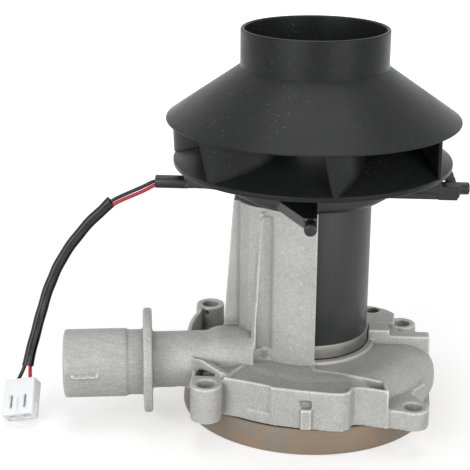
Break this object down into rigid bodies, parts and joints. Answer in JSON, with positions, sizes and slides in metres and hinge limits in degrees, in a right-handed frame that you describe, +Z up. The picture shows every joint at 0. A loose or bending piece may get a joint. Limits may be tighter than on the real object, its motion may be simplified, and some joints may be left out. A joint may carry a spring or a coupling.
{
  "type": "dc blower fan",
  "caption": "Motor-driven heater blower: open radial fan wheel above a can motor, on a die-cast air-channel housing with an inlet pipe, bottom cover and a short two-wire lead.",
  "frame": {"origin": "on the fan's axis, at the middle of the bottom cover's lower face, which the blower stands on", "axes": "+Z up along the fan's axis towards the wheel's neck; +X to the right, away from the inlet pipe; +Y to the back, away from the front deck"},
  "size_m": [0.1692, 0.106, 0.143],
  "materials": {
    "wheel_plastic": "matte charcoal moulding",
    "bracket_plastic": "satin black moulding",
    "black_can": "satin black",
    "end_cap_metal": "plain",
    "ferrite": "ground ferrite",
    "laminations": "stacked steel sheet",
    "enamelled_copper": "enamelled wire",
    "copper": "turned copper bars",
    "impeller_aluminium": "machined",
    "bright_steel": "bright zinc",
    "turned_steel": "turned, brushed round",
    "phenolic": "brown board",
    "carbon": "pressed graphite",
    "die_cast": "sand-textured die casting",
    "bronzed_cover": "brown satin lacquer with faint bands",
    "seal_rubber": "matte",
    "sleeve_black": "glossy sleeve",
    "wire_black": "insulated wire",
    "wire_red": "insulated wire",
    "plug_nylon": "translucent white nylon",
    "tinned_brass": "tinned"
  },
  "bodies": {
    "housing": {"motor_can": "black_can", "motor_end_cap": "end_cap_metal", "field_magnets": "ferrite", "upper_bearing": "bright_steel", "lower_bearing": "bright_steel", "brush_card": "phenolic", "brush_spring_left": "bright_steel", "brush_spring_right": "bright_steel", "arm_bracket": "bracket_plastic", "bracket_screws": "bright_steel", "wire_tube": "sleeve_black", "seat_ring": "turned_steel", "seat_seal": "seal_rubber", "blower_housing": "die_cast", "bottom_cover": "bronzed_cover", "cover_gasket": "seal_rubber", "cover_screws": "bright_steel", "wire_black": "wire_black", "wire_red": "wire_red", "lead_sleeve": "sleeve_black", "plug_housing": "plug_nylon", "plug_terminals": "tinned_brass"},
    "rotor": {"fan_shroud": "wheel_plastic", "fan_blades": "wheel_plastic", "fan_back_plate": "wheel_plastic", "hub_cap": "bright_steel", "shaft": "bright_steel", "armature_core": "laminations", "armature_windings": "enamelled_copper", "commutator": "copper", "channel_impeller": "impeller_aluminium", "impeller_clip": "bright_steel"},
    "left_brush": {"brush_left": "carbon"},
    "right_brush": {"brush_right": "carbon"}
  },
  "joints": [
    {"name": "rotor_spin", "type": "hinge", "parent": "housing", "child": "rotor", "pos_m": [0, 0, 0.05], "axis": [0, 0, 1], "continuous": true},
    {"name": "left_brush_slide", "type": "slide", "parent": "housing", "child": "left_brush", "axis": [-1, 0, 0], "range_m": [0, 0.0015], "stiffness_N_per_m": 150, "springref_m": -0.004, "deforming": ["brush_spring_left"]},
    {"name": "right_brush_slide", "type": "slide", "parent": "housing", "child": "right_brush", "axis": [1, 0, 0], "range_m": [0, 0.0015], "stiffness_N_per_m": 150, "springref_m": -0.004, "deforming": ["brush_spring_right"]}
  ]
}
